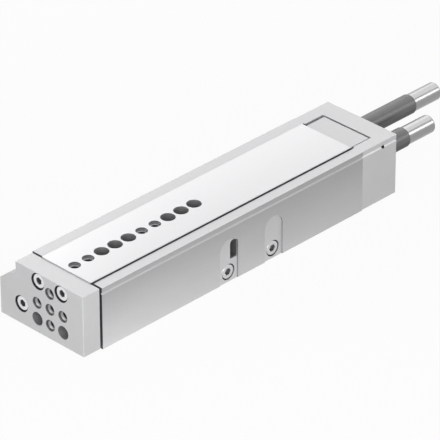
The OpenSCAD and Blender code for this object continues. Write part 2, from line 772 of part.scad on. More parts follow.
module piston()
    color("#b9bcc1") difference() {
        rod_x(piston_rear, piston_front, cyl_y, cyl_z, bore_d - 2 * piston_gap);
        for (g = [[seal_at[0], seal_w], [seal_at[1], seal_w], [magnet_at, magnet_w]])
            ring_x(piston_rear - g[0], piston_rear - g[0] - g[1], cyl_y, cyl_z,
                bore_d + 2 * cut, groove_floor_d);
        face_rear(back(piston_seat), cyl_y, cyl_z)
            screw_bore(yoke_thread, 2 * yoke_thread, piston_l);
    }

module piston_screw()
    color("#8f9297") face_rear(back(piston_seat), cyl_y, cyl_z)
        cap_screw(yoke_thread, piston_seat - piston_front);

module lip_seal(rear) {
    inner = groove_floor_d / 2 + seat_gap;
    lip = bore_d / 2 - rod_gap;
    color("#1e1f21") translate([back(rear), cyl_y, cyl_z]) rotate([0, 90, 0]) rotate_extrude()
        polygon([[inner, 2 * seat_gap], [lip - lip_t, 2 * seat_gap], [lip, lip_t],
            [lip - lip_t, seal_w - 2 * seat_gap], [inner, seal_w - 2 * seat_gap]]);
}

module piston_seals() for (a = seal_at) lip_seal(piston_rear - a);

module piston_magnet()
    color("#3a3c40")
        ring_x(piston_rear - magnet_at - 2 * seat_gap,
            piston_rear - magnet_at - magnet_w + 2 * seat_gap, cyl_y, cyl_z,
            bore_d - 2 * magnet_sink, groove_floor_d + 2 * seat_gap);

// ---- rear cap ----

module cap_window()
    along_x(window_rear, housing_len - cut) {
        lower_channel(window_right);
        translate([-plate_left - window_left_gap, absorber_z])
            square([plate_left + window_left_gap + window_right, housing_h]);
    }

// Air port: a threaded hole with a narrow bore beyond it
module port(l) {
    tapped_hole(port_thread, port_depth, mouth_d(port_thread));
    translate([0, 0, -l]) cylinder(d = air_d, h = l);
}

module rear_cap()
    color("#cfd1d4") difference() {
        intersection() {
            union() {
                along_x(cap_rear, housing_len) polygon(broken(profile(cap_inset), edge_break));
                rod_x(housing_len + cut, housing_len - spigot_l, cyl_y, cyl_z,
                    bore_d - 2 * seat_gap);
            }
            along_y(-foot_side, side_right)
                polygon(broken(box(back(cap_rear), back(0), cap_inset, housing_h - cap_inset / 2),
                    edge_break));
            along_z(0, housing_h)
                polygon(broken(box(back(cap_rear), back(0), cap_inset - foot_side,
                    side_right - cap_inset), edge_break));
        }
        cap_window();
        along_x(cap_rear + cut, housing_len - cut) side_groove(cap_inset);
        ring_groove(housing_len - spigot_l / 2, cyl_y, cyl_z, bore_d);
        // absorbers: free pass of the advance sleeve, seat of the retract sleeve
        rod_x(cap_rear + cut, window_rear - cut, -advance_left, absorber_z, sleeve_pass_d);
        rod_x(cap_rear + cut, retract_front - cut, retract_right, absorber_z, sleeve_hole_d);
        // clamping slit and its screw
        block(cap_rear + cut, window_rear - cut, clamp_y - slit_reach, retract_right,
            absorber_z - slit_w / 2, absorber_z + slit_w / 2);
        face_down(back(wall_mid), clamp_y, cap_clamp_z)
            screw_bore(small_thread, absorber_z, clamp_seat_below);
        face_down(back(wall_mid), clamp_y, absorber_z) screw_tap(small_thread);
        // key hole under the stop plate's clamp screw
        face_down(back(plate_mid), clamp_y, channel_floor + cut)
            cylinder(d = key_hole_d, h = 2 * channel_floor);
        for (p = cap_screw_at)
            face_rear(back(cap_seat), p[0], p[1])
                screw_bore(small_thread, 2 * small_thread, cap_seat - housing_len + cut);
        // air ports behind and at the left side, for the rear and the front chamber
        face_rear(back(cap_rear), cyl_y, cyl_z) port(cap_len + spigot_l + cut);
        face_rear(back(cap_rear), air_y, air_z) port(cap_len + cut);
        face_left(rear_port_x, cap_inset - foot_side, cyl_z) port(foot_side - cyl_left);
        face_left(front_port_x, cap_inset - foot_side, air_z) port(air_in);
        face_right(side_drill_x, side_right - cap_inset - side_drill_l, groove_z + side_drill_rise)
            cylinder(d = side_drill_d, h = side_drill_l + cut);
    }

module rear_cap_screws()
    color("#8f9297") for (p = cap_screw_at)
        face_rear(back(cap_seat), p[0], p[1]) cap_screw(small_thread, cap_seat - housing_len);

module port_plugs()
    color("#a9acb1") for (p = [[cyl_y, cyl_z], [air_y, air_z]])
        face_rear(back(cap_rear - port_plug_sink), p[0], p[1]) difference() {
            translate([0, 0, -port_plug_l])
                cylinder(d = tap_d(port_thread) - 2 * seat_gap, h = port_plug_l);
            socket(port_plug_key, port_plug_key);
        }

module channel_plugs()
    color("#8f9297") {
        translate([back(air_cross), plug_sink - foot_side, air_z])
            sphere(d = cross_mouth_d - 2 * seat_gap);
        translate([side_drill_x, side_right - cap_inset - plug_sink, groove_z + side_drill_rise])
            sphere(d = side_drill_d - 2 * seat_gap);
    }

module cap_clamp_screw()
    color("#8f9297") face_down(back(wall_mid), clamp_y, cap_clamp_z)
        cap_screw(small_thread, clamp_seat_below);

// ---- slide, yoke and stop plate ----

module slide()
    color("#dfe1e3") difference() {
        along_x(slide_rear, -yoke_gap)
            polygon(broken(box(-slide_w / 2, slide_w / 2, slide_bottom, slide_top), edge_break));
        for (s = [-1, 1]) rod_x(slide_rear + cut, -yoke_gap - cut, s * race_y, race_z, race_d);
        for (k = thread_at)
            translate([slide_front_x - first_hole - k * hole_pitch, 0, slide_top])
                tapped_hole(fix_thread, fix_depth, fix_mouth);
        for (k = pilot_at)
            translate([slide_front_x - first_hole - k * hole_pitch, 0, slide_top - pilot_depth])
                cylinder(d = pilot_d, h = pilot_depth + cut);
        for (s = [-1, 1])
            face_front(slide_front_x, s * yoke_screw_y, yoke_screw_z) screw_tap(yoke_thread);
        for (p = plate_screw_at)
            face_rear(slide_rear_x, p[0], p[1]) screw_tap(small_thread);
        // room for the nose of the advance sleeve
        rod_x(slide_rear + cut, advance_front - plate_gap, -advance_left, absorber_z,
            sleeve_pass_d);
    }

yoke_pts = [
    [-foot_side, yoke_lift],
    [yoke_right, yoke_lift],
    [yoke_right, yoke_top],
    [-yoke_step, yoke_top],
    [-yoke_step, foot_h + foot_rise(yoke_step)],
    [-foot_side + foot_bevel_w, foot_h],
    [-foot_side, foot_h - foot_bevel_h]
];

module yoke_plate()
    color("#cfd1d4") difference() {
        intersection() {
            along_x(-yoke_gap, -yoke_gap - yoke_t) polygon(broken(yoke_pts, edge_break));
            along_y(-foot_side, yoke_right)
                polygon(broken(box(slide_front_x, yoke_front_x, yoke_lift, yoke_top), edge_break));
            along_z(yoke_lift, yoke_top)
                polygon(broken(box(slide_front_x, yoke_front_x, -foot_side, yoke_right),
                    edge_break));
        }
        // fixing threads: a middle hole and four round it
        for (p = [[0, 0], [1, 0], [-1, 0], [0, 1], [0, -1]])
            face_front(yoke_front_x, p[0] * hole_pitch, yoke_mid_z + p[1] * hole_pitch)
                tapped_hole(fix_thread, yoke_t + cut, fix_mouth);
        for (s = [-1, 1])
            face_front(yoke_front_x - pilot_depth, s * hole_pitch, yoke_mid_z - hole_pitch)
                cylinder(d = yoke_pilot_d, h = pilot_depth + cut);
        for (p = [[-yoke_screw_y, yoke_screw_z], [yoke_screw_y, yoke_screw_z], [cyl_y, cyl_z]])
            face_front(yoke_seat_x, p[0], p[1])
                screw_bore(yoke_thread, 2 * yoke_thread, yoke_t);
    }

module yoke_screws()
    color("#8f9297") for (s = [-1, 1])
        face_front(yoke_seat_x, s * yoke_screw_y, yoke_screw_z)
            cap_screw(yoke_thread, yoke_seat_x - slide_front_x);

module rod_screw()
    color("#8f9297") face_front(yoke_seat_x, cyl_y, cyl_z)
        cap_screw(yoke_thread, yoke_seat_x - slide_front_x);

module stop_plate()
    color("#c3c5c8") difference() {
        along_x(plate_rear, slide_rear) {
            translate([-advance_left, absorber_z]) circle(r = plate_wall);
            translate([-advance_left, plate_bottom])
                square([advance_left + plate_right, absorber_z - plate_bottom + cut]);
            translate([-plate_left, absorber_z])
                square([plate_left + plate_right, plate_top - absorber_z]);
        }
        rod_x(plate_rear + cut, slide_rear - cut, -advance_left, absorber_z, sleeve_hole_d);
        // clamping slit and its screw
        block(plate_rear + cut, slide_rear - cut, -advance_left, clamp_y + slit_reach,
            absorber_z - slit_w / 2, absorber_z + slit_w / 2);
        face_down(back(plate_mid), clamp_y, plate_clamp_z)
            screw_bore(small_thread, 2 * small_thread, absorber_z - plate_clamp_z);
        face_down(back(plate_mid), clamp_y, absorber_z) screw_tap(small_thread);
        for (p = plate_screw_at)
            face_rear(back(plate_seat), p[0], p[1])
                screw_bore(small_thread, 2 * small_thread, plate_t);
    }

module stop_plate_screws()
    color("#8f9297") for (p = plate_screw_at)
        face_rear(back(plate_seat), p[0], p[1]) cap_screw(small_thread, plate_seat - slide_rear);

module plate_clamp_screw()
    color("#8f9297") face_down(back(plate_mid), clamp_y, plate_clamp_z)
        cap_screw(small_thread, absorber_z - plate_clamp_z);

// ---- ball cages ----

cage_len = slide_rear - stroke - 2 * cage_margin;
cage_front = stroke / 2 + cage_margin;
ball_count = floor((cage_len - ball_d) / ball_pitch);
function ball_station(i) = cage_front + cage_len / 2 + (i - (ball_count - 1) / 2) * ball_pitch;

module ball_cage(s)
    color("#c8a24a") difference() {
        translate([back(cage_front + cage_len), s * race_y - cage_t / 2, race_z - cage_h / 2])
            cube([cage_len, cage_t, cage_h]);
        for (i = [0:ball_count - 1])
            face_right(back(ball_station(i)), s * race_y - cage_t, race_z)
                cylinder(d = race_d, h = 2 * cage_t);
    }

module balls(s)
    color("#d5d8dc") for (i = [0:ball_count - 1])
        translate([back(ball_station(i)), s * race_y, race_z]) sphere(d = ball_d);

module ball_cage_left() ball_cage(-1);
module ball_cage_right() ball_cage(1);
module balls_left() balls(-1);
module balls_right() balls(1);

// ---- absorbers: distances run back from the sleeve's front end ----

module turned(station, y)
    translate([back(station), y, absorber_z]) rotate([0, -90, 0]) rotate_extrude() children();

module sleeve(station, y, l) {
    r = sleeve_d / 2;
    inner = absorber_d / 2 + seat_gap;
    hole = plunger_d / 2 + nose_gap;
    turned(station, y)
        polygon([[hole, 0], [r - sleeve_break, 0], [r, sleeve_break], [r, l - taper_l],
            [r - sleeve_break, l], [inner, l], [inner, nose_t], [hole, nose_t]]);
}

module absorber(station, y, l) {
    r = absorber_d / 2;
    start = nose_t + seat_gap;
    end = l + tail_out;
    difference() {
        turned(station, y) {
            polygon([[0, start], [r - sleeve_break, start], [r, start + sleeve_break],
                [r, end - tail_round], [0, end - tail_round]]);
            translate([0, end - tail_round]) square([r - tail_round, tail_round]);
            intersection() {
                translate([r - tail_round, end - tail_round]) circle(r = tail_round);
                translate([r - tail_round, end - tail_round]) square(tail_round);
            }
        }
        rod_x(station + plunger_l + plunger_room, station, y, absorber_z,
            plunger_d + 2 * plunger_gap);
        face_rear(back(station + end), y, absorber_z) socket(tail_key, tail_key);
    }
}

module plunger(station, y) {
    r = plunger_d / 2;
    turned(station, y)
        polygon([[0, 0], [r - edge_break, 0], [r, edge_break], [r, plunger_l], [0, plunger_l]]);
}

module retract_sleeve()
    color("#55585c") sleeve(retract_front, retract_right, retract_sleeve_l);
module retract_absorber()
    color("#c4c7cb") absorber(retract_front, retract_right, retract_sleeve_l);
module retract_plunger()
    color("#e2e4e6") plunger(retract_front, retract_right);
module advance_sleeve()
    color("#55585c") sleeve(advance_front, -advance_left, advance_sleeve_l);
module advance_absorber()
    color("#c4c7cb") absorber(advance_front, -advance_left, advance_sleeve_l);
module advance_plunger()
    color("#e2e4e6") plunger(advance_front - plunger_stroke, -advance_left);

housing();
rear_cap();
rear_cap_screws();
guide_rail_left();
guide_rail_right();
stop_bar();
pocket_screws();
rod_bearing();
rod_seal();
rod_wiper();
bearing_o_ring();
bearing_circlip();
cap_o_ring();
port_plugs();
channel_plugs();
cap_clamp_screw();
slide();
yoke_plate();
yoke_screws();
rod_screw();
piston_rod();
piston();
piston_screw();
piston_seals();
piston_magnet();
stop_plate();
stop_plate_screws();
plate_clamp_screw();
ball_cage_left();
balls_left();
ball_cage_right();
balls_right();
retract_sleeve();
retract_absorber();
retract_plunger();
advance_sleeve();
advance_absorber();
advance_plunger();
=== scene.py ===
"""Looks of a pneumatic slide table: worked metal finishes, cut threads, studio and camera.

Places come from the frame in metres. Shaders measure in millimetres, in the same axes:
X runs to the front, Y to the right and Z up.
"""
import json
import math

import bmesh
import bpy
from mathutils import Matrix, Vector


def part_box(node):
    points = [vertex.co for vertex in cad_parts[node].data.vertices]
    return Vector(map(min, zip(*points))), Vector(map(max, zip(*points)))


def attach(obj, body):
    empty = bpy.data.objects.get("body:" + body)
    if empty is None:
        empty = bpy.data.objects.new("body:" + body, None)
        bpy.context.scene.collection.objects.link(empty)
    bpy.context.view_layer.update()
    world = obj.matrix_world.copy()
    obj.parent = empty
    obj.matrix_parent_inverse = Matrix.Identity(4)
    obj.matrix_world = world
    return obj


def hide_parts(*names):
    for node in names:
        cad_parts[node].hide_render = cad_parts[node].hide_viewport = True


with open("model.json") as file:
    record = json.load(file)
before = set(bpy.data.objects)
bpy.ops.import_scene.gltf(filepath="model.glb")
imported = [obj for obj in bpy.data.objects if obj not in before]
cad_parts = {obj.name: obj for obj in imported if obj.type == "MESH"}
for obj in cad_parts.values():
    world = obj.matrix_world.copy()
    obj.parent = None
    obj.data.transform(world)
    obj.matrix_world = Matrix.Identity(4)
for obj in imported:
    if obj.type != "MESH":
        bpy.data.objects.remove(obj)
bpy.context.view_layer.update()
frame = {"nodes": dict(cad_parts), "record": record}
NODES = frame["nodes"]
MOUNTS = {mount["name"]: mount for mount in frame["record"]["mounts"]}
MM = 0.001
SHARP_ANGLE = math.radians(30.0)


def box_mm(node):
    """Low and high corner of a node's box, in millimetres."""
    return [[part / MM for part in corner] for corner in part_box(node)]


def add_object(name, data):
    """A new object in the scene, at the origin."""
    made = bpy.data.objects.new(name, data)
    bpy.context.scene.collection.objects.link(made)
    return made


def shade_smooth(mesh):
    """Smooth shading that keeps the sharp edges sharp."""
    mesh.shade_smooth()
    mesh.set_sharp_from_angle(angle=SHARP_ANGLE)


def add_node(tree, kind, settings=None, inputs=None):
    """Adds a node: its settings first, then the values or links of its sockets."""
    made = tree.nodes.new(kind)
    for key, value in (settings or {}).items():
        setattr(made, key, value)
    for key, value in (inputs or {}).items():
        if isinstance(value, Value):
            value = value.socket
        if isinstance(value, bpy.types.NodeSocket):
            tree.links.new(value, made.inputs[key])
        else:
            made.inputs[key].default_value = value
    return made


# ---- shader maths ----------------------------------------------------------------------------

class Value:
    """A socket that takes part in Python arithmetic. Comparisons give 1 or 0."""

    def __init__(self, shader, socket):
        self.shader, self.socket = shader, socket

    def _math(self, operation, first, second=0.0, clamp=False):
        made = self.shader.node("ShaderNodeMath", {"operation": operation, "use_clamp": clamp},
                                {0: first, 1: second})
        return Value(self.shader, made.outputs[0])

    def __add__(self, other):
        return self._math("ADD", self, other)

    def __radd__(self, other):
        return self._math("ADD", other, self)

    def __sub__(self, other):
        return self._math("SUBTRACT", self, other)

    def __rsub__(self, other):
        return self._math("SUBTRACT", other, self)

    def __mul__(self, other):
        return self._math("MULTIPLY", self, other)

    def __rmul__(self, other):
        return self._math("MULTIPLY", other, self)

    def __truediv__(self, other):
        return self._math("DIVIDE", self, other)

    def __rtruediv__(self, other):
        return self._math("DIVIDE", other, self)

    def __gt__(self, other):
        return self._math("GREATER_THAN", self, other)

    def __lt__(self, other):
        return self._math("LESS_THAN", self, other)

    def larger(self, other):
        """The larger of two values."""
        return self._math("MAXIMUM", self, other)

    def clamped(self):
        """The same value, kept between 0 and 1."""
        return self._math("ADD", self, 0.0, clamp=True)


def inside(value, face, depths):
    """1 between two depths inside a face of the part: the deeper one comes first."""
    deep, shallow = depths
    return (value > face - deep) * (value < face - shallow)


def blend(first, second, share=0.5):
    """Two values added up, with `share` of the second, kept between 0 and 1."""
    return (first * (1.0 - share) + second * share).clamped()


def ramp(value, start, slope):
    """Rises from 0 at `start` by `slope` for each unit, up to 1."""
    return ((value - start) * slope).clamped()


class Shader:
    """Builds the nodes of one material, or of the surroundings."""

    def __init__(self, name, owner=None):
        self.material = owner or bpy.data.materials.new(name)
        self.material.use_nodes = True
        self.tree = self.material.node_tree
        self.tree.nodes.clear()

    def node(self, kind, settings=None, inputs=None):
        """Adds a node to the tree."""
        return add_node(self.tree, kind, settings, inputs)

    def place(self, scale=(1.0, 1.0, 1.0)):
        """Object coordinates, drawn out or squeezed along each axis."""
        coordinates = self.node("ShaderNodeTexCoord").outputs["Object"]
        return self.node("ShaderNodeMapping", {}, {
            "Vector": coordinates, "Scale": scale}).outputs[0]

    def axes(self):
        """Object coordinates as three values, in millimetres."""
        scaled = self.place((1.0 / MM, 1.0 / MM, 1.0 / MM))
        split = self.node("ShaderNodeSeparateXYZ", {}, {0: scaled})
        return [Value(self, socket) for socket in split.outputs]

    def noise(self, vector, scale, detail=2.0, roughness=0.5):
        """Random clouds or, on stretched coordinates, random lines."""
        made = self.node("ShaderNodeTexNoise", {}, {
            "Vector": vector, "Scale": scale, "Detail": detail, "Roughness": roughness})
        return Value(self, made.outputs[0])

    def rings(self, distance, scale):
        """Fine random rings at growing distance along a lathe's axis."""
        made = self.node("ShaderNodeTexNoise", {"noise_dimensions": "1D"}, {
            "W": distance, "Scale": scale, "Detail": 2.0, "Roughness": 0.6})
        return Value(self, made.outputs[0])

    def mix(self, amount, first, second):
        """One of two colours, or a blend of them, by an amount from 0 to 1."""
        # the node has sockets for each kind of data, and these carry its colours
        first_input, second_input, result = 6, 7, 2
        colours = {key: (*colour, 1.0) if isinstance(colour, tuple) else colour
                   for key, colour in ((first_input, first), (second_input, second))}
        made = self.node("ShaderNodeMix", {"data_type": "RGBA"}, {0: amount, **colours})
        return made.outputs[result]

    def relief(self, height, strength, depth=0.03 * MM):
        """Fine bumps that bend the light and leave the shape alone."""
        return self.node("ShaderNodeBump", {}, {
            "Height": height, "Strength": strength, "Distance": depth}).outputs[0]

    def surface(self, colour, metallic, rough, normal):
        """The finished material of a solid surface."""
        body = self.node("ShaderNodeBsdfPrincipled", {}, {
            "Base Color": colour, "Metallic": metallic, "Roughness": rough, "Normal": normal})
        return self.finish(body.outputs[0])

    def finish(self, shader):
        """Ends the tree: what it builds is what shows."""
        kind = "ShaderNodeOutputWorld" if isinstance(self.material, bpy.types.World) \
            else "ShaderNodeOutputMaterial"
        self.node(kind, {}, {"Surface": shader})
        return self.material


# ---- finishes --------------------------------------------------------------------------------

# How a grain is drawn out along one axis, or left even
ALONG_X = (0.03, 1.0, 1.0)
ALONG_Y = (1.0, 0.04, 1.0)
ALONG_Z = (1.0, 1.0, 0.05)
EVEN = (1.0, 1.0, 1.0)

# dark grey painted as shade in the slide's channel and in the gaps between parts
GAP_SHADE = (0.09, 0.09, 0.09)

# Where the marks of the finishes and the painted light and shade lie, in millimetres: drops
# are measured down from the rails' top, and depths inward from the face of the right side
HIGHLIGHT_WIDTH = 0.25              # width of a painted highlight along an edge
GROUND_SKIN = 0.3               # what lies this close to the rails' top is ground
RAIL_BAND = 3.2                 # height of a band along the top of the side, painted paler
GROOVE_DROPS = (5.1, 1.6)       # the long groove, with some room above and below
GROOVE_DEPTHS = (1.15, 0.07)
POCKET_DROP = 7.6               # the screw pockets lie below this
POCKET_DEPTHS = (1.0, 0.5)      # their floors
FLANK_DEPTHS = (0.5, 0.03)      # their walls, darkened with painted shade
SEAT_DROPS = (38.3, 12.1)       # the seats of the pocket screws, darkened with painted shade
SEAT_DEPTHS = (14.0, 1.3)
CHANNEL_PLAY = 0.75             # from the slide's side to just past the channel's wall, the reach of its painted shade
FOOT_SETBACK = 8.9              # from the slide's left side to where the foot's painted shade starts
FRONT_SKIN = 0.05               # what lies this close to the front belongs to its face, which gets painted shade
HEAD_SKIN = 0.45                # a screw's head keeps its plating down to this, with painted shade below
SLEEVE_SHADE = 5.2              # the stop sleeves get painted shade below this, measured from their top


def grey(level):
    """A metal's grey, a hair cooler than neutral."""
    return (level, level, level * 1.012)


def in_groove(node, y, z):
    """1 in the long groove along the right side of the housing or the rear cap, where light is
    painted on its flank.
    """
    side, top = box_mm(node)[1][1], box_mm("housing")[1][2]
    return inside(y, side, GROOVE_DEPTHS) * inside(z, top, GROOVE_DROPS)


def corner_edge_highlight(node, place):
    """1 on the three edges that meet in a node's high corner, where a highlight is painted."""
    x, y, z = (axis > end - HIGHLIGHT_WIDTH for axis, end in zip(place, box_mm(node)[1]))
    return (x * y).larger(x * z).larger(y * z)


def worked_metal(name, dark, light, metallic, rough, stretch, grain, bump, cloud=90.0,
                 node=None, grooved=False):
    """Metal with a worked grain: `stretch` draws the grain out along one axis.

    A finish for one `node` alone also has painted highlights on its edges and, where it is grooved,
    painted light in its groove.
    """
    s = Shader(name)
    lines = s.noise(s.place(stretch), grain, 3.0, 0.65)
    clouds = s.noise(s.place(), cloud)
    fine = s.noise(s.place(), grain * 0.8, 2.0, 0.6)
    colour = s.mix(blend(clouds, lines, 0.45), dark, light)
    if node:
        # painted highlights along the edges of the high corner
        colour = s.mix(corner_edge_highlight(node, s.axes()), colour, grey(0.72))
    if grooved:
        _, y, z = s.axes()
        # painted light on the groove's flank
        colour = s.mix(in_groove(node, y, z), colour, grey(0.86))
    return s.surface(colour, metallic, (rough - 0.06) + lines * 0.09 + clouds * 0.03,
                     s.relief(lines * 0.7 + fine * 0.3, bump))


def housing_metal():
    """Anodised sides, drawn along the profile, with painted light and shade; ground rails on top;
    screw seats darkened with painted shade.
    """
    s = Shader("anodised_housing")
    x, y, z = s.axes()
    (_, _, bottom), (front, side, top) = box_mm("housing")
    (_, slide_left, _), (_, slide_right, _) = box_mm("slide")
    lines = s.noise(s.place(ALONG_X), 3200.0, 3.0, 0.65)
    clouds = s.noise(s.place((0.3, 1.0, 1.0)), 60.0)
    tone = blend(clouds, lines)

    # painted light on the sides, which get lighter toward the bottom, and more so toward the front
    shaded_upper = s.mix(tone, grey(0.325), grey(0.44))
    lit_lower = s.mix(tone, grey(0.71), grey(0.85))
    painted_light_share = (1.0 - z / (top - bottom)).clamped() + (z > top - RAIL_BAND) * 0.1
    sides = s.mix(painted_light_share * (0.78 + x * 0.0016), shaded_upper, lit_lower)

    # the ground rails, with a painted highlight along their edge at the right
    rails = s.mix(tone, grey(0.588), grey(0.655))
    edge = (y > side - HIGHLIGHT_WIDTH) * (z > top - HIGHLIGHT_WIDTH)
    rails = s.mix(edge, rails, grey(0.75))
    colour = s.mix(z > top - GROUND_SKIN, sides, rails)

    # the screw pockets in the side, with painted shade in their seats and on their walls, and
    # painted light in the long groove above them
    seats = inside(y, side, SEAT_DEPTHS) * inside(z, top, SEAT_DROPS)
    pockets = inside(y, side, POCKET_DEPTHS) * (z < top - POCKET_DROP)
    flanks = inside(y, side, FLANK_DEPTHS) * (z < top - POCKET_DROP)
    colour = s.mix(seats, colour, grey(0.18))
    colour = s.mix(in_groove("housing", y, z), colour, grey(0.58))
    colour = s.mix(pockets * 0.3, colour, grey(0.80))
    colour = s.mix(flanks, colour, grey(0.16))

    # painted shade on the foot, in the channel and on the front
    foot = y < slide_left - FOOT_SETBACK
    wall = slide_right + CHANNEL_PLAY
    gap_shade_mask = ((y > -wall) * (y < wall)).larger(x > front - FRONT_SKIN)
    colour = s.mix(foot * 0.4, colour, grey(0.12))
    colour = s.mix(gap_shade_mask, colour, GAP_SHADE)
    return s.surface(colour, 0.3, 0.38 + lines * 0.09 + clouds * 0.04, s.relief(lines, 0.1))


def slide_metal():
    """Ground top with a painted sheen that fades across it; painted shade on the sides inside the
    channel.
    """
    side_skin, top_skin = 0.5, 0.4
    s = Shader("ground_slide")
    _, y, z = s.axes()
    (_, left, _), (_, right, top) = box_mm("slide")
    lines = s.noise(s.place(ALONG_X), 3600.0, 3.0, 0.65)
    clouds = s.noise(s.place((0.4, 1.0, 1.0)), 45.0)
    tone = blend(clouds, lines)
    sheen_high = s.mix(tone, grey(0.665), grey(0.725))
    sheen_low = s.mix(tone, grey(0.585), grey(0.645))
    # a painted sheen, brightest at the left side
    colour = s.mix(((y - left) / (right - left)).clamped(), sheen_high, sheen_low)
    sides = (y < left + side_skin).larger(y > right - side_skin) * (z < top - top_skin)
    # painted shade on the sides inside the channel
    colour = s.mix(sides, colour, GAP_SHADE)
    return s.surface(colour, 0.4, 0.32 + lines * 0.08 + clouds * 0.03, s.relief(lines, 0.1))


def screw_metal(node, axis, sign):
    """Plated screw heads; the socket and the shank, below the heads' faces, are darkened with
    painted shade.
    """
    s = Shader("plated_" + node)
    place = s.axes()[axis]
    low, high = (corner[axis] for corner in box_mm(node))
    sunk = (place < high - HEAD_SKIN) if sign > 0 else (place > low + HEAD_SKIN)
    speckle = s.noise(s.place(), 2400.0, 3.0, 0.6)
    turned = s.noise(s.place(), 700.0)
    level, socket = (0.58, 0.26) if node == "pocket_screws" else (0.76, 0.15)
    plated = s.mix(blend(speckle, turned), grey(level), grey(level + 0.12))
    # painted shade in the socket and on the shank
    return s.surface(s.mix(sunk, plated, grey(socket)), 0.6, 0.26 + speckle * 0.12,
                     s.relief(speckle, 0.12))


def turned_metal(name, dark, light, metallic, rough, fineness, bump, shade=None):
    """Lathe-turned metal: fine rings along X. Below the height `shade` it gets painted shade."""
    s = Shader(name)
    x, _, z = s.axes()
    lines = s.rings(x, fineness)
    clouds = s.noise(s.place(), 160.0)
    colour = s.mix(blend(lines, clouds), dark, light)
    if shade:
        # painted shade below the height `shade`
        colour = s.mix(((shade - z) * 0.3).clamped(), colour, grey(0.015))
    return s.surface(colour, metallic, (rough - 0.05) + lines * 0.1, s.relief(lines, bump))


def rubber(name):
    """Matt black rubber with a fine speckle."""
    s = Shader(name)
    speckle = s.noise(s.place(), 2500.0)
    return s.surface(s.mix(speckle, grey(0.018), grey(0.036)), 0.0, 0.5 + speckle * 0.15,
                     s.relief(speckle, 0.2, 0.02 * MM))


def cut_thread(name, axis, face, sign, level):
    """Thread crests, with painted shade at the hole's mouth, a painted highlight below it and
    painted shade again deep down.
    """
    mouth_shade, deep_shade = 1.1, 2.1
    s = Shader("cut_" + name)
    depth = (face / MM - s.axes()[axis]) * sign
    speckle = s.noise(s.place(), 2600.0)
    crests = s.mix(speckle, grey(level), grey(level + 0.14))
    colour = s.mix(ramp(depth, mouth_shade, 1.2), grey(0.16), crests)
    colour = s.mix(ramp(depth, deep_shade, 1.3), colour, grey(0.03))
    return s.surface(colour, 0.5, 0.24 + speckle * 0.1, s.relief(speckle, 0.1))


# One finish for each material slot of the part
FINISHES = {
    "housing": housing_metal(),
    "cap": worked_metal(
        "satin_cap", grey(0.575), grey(0.655), metallic=0.3, rough=0.44, stretch=ALONG_Z,
        grain=3000.0, bump=0.10, node="rear_cap", grooved=True),
    "yoke": worked_metal(
        "satin_yoke", grey(0.565), grey(0.64), metallic=0.3, rough=0.44, stretch=ALONG_Y,
        grain=3000.0, bump=0.12, node="yoke_plate"),
    "slide": slide_metal(),
    "stop_plate": worked_metal(
        "milled_plate", grey(0.49), grey(0.555), metallic=0.4, rough=0.42, stretch=ALONG_Y,
        grain=3000.0, bump=0.10),
    "hardened_steel": worked_metal(
        "hardened_steel", grey(0.14), grey(0.20), metallic=0.8, rough=0.3, stretch=ALONG_X,
        grain=3200.0, bump=0.08),
    "screw_steel": worked_metal(
        "plated_steel", grey(0.42), grey(0.56), metallic=0.85, rough=0.32, stretch=EVEN,
        grain=2400.0, bump=0.12, cloud=700.0),
    "bronze": worked_metal(
        "bearing_bronze", (0.42, 0.27, 0.12), (0.55, 0.37, 0.18), metallic=0.9, rough=0.34,
        stretch=EVEN, grain=2600.0, bump=0.1, cloud=400.0),
    "seal_rubber": rubber("seal_rubber"),
    "rod_chrome": turned_metal(
        "hard_chrome", grey(0.66), grey(0.74), metallic=1.0, rough=0.14, fineness=9.0, bump=0.02),
    "piston_alloy": turned_metal(
        "turned_alloy", grey(0.50), grey(0.62), metallic=0.8, rough=0.34, fineness=9.0, bump=0.08),
    "magnet": worked_metal(
        "bonded_magnet", grey(0.05), grey(0.09), metallic=0.3, rough=0.5, stretch=EVEN,
        grain=2600.0, bump=0.15, cloud=900.0),
    "cage_brass": worked_metal(
        "stamped_brass", (0.55, 0.40, 0.16), (0.68, 0.51, 0.23), metallic=0.95, rough=0.3,
        stretch=ALONG_X, grain=2600.0, bump=0.06),
    "ball_steel": worked_metal(
        "polished_balls", grey(0.62), grey(0.70), metallic=1.0, rough=0.1, stretch=EVEN,
        grain=2000.0, bump=0.02, cloud=700.0),
    "sleeve": turned_metal(
        "burnished_sleeve", grey(0.12), grey(0.17), metallic=0.5, rough=0.40, fineness=6.0,
        bump=0.06, shade=box_mm("retract_sleeve")[1][2] - SLEEVE_SHADE),
    "absorber": turned_metal(
        "bright_absorber", grey(0.28), grey(0.33), metallic=1.0, rough=0.23, fineness=9.0,
        bump=0.03),
}

# Finishes of the walls of holes, darkened with painted shade, in the order of the copies' material
# slots after their own
BORED_WALL, SHADED_WALL, SHADED_MOUTH = 1, 2, 3
WALL_FINISHES = (
    worked_metal("bored_hole", grey(0.32), grey(0.40), metallic=0.5, rough=0.34, stretch=EVEN,
                 grain=2400.0, bump=0.12, cloud=500.0),
    worked_metal("shaded_hole_wall", grey(0.05), grey(0.08), metallic=0.5, rough=0.34, stretch=EVEN,
                 grain=2400.0, bump=0.12, cloud=500.0),
    worked_metal("shaded_chamfer", grey(0.09), grey(0.13), metallic=0.6, rough=0.3, stretch=EVEN,
                 grain=2400.0, bump=0.1, cloud=500.0))

# The axis along which each kind of screw or plug stands, and the side that its head faces
HEAD_FACES = {"yoke_screws": (0, 1), "rod_screw": (0, 1), "pocket_screws": (1, 1),
              "rear_cap_screws": (0, -1), "port_plugs": (0, -1)}


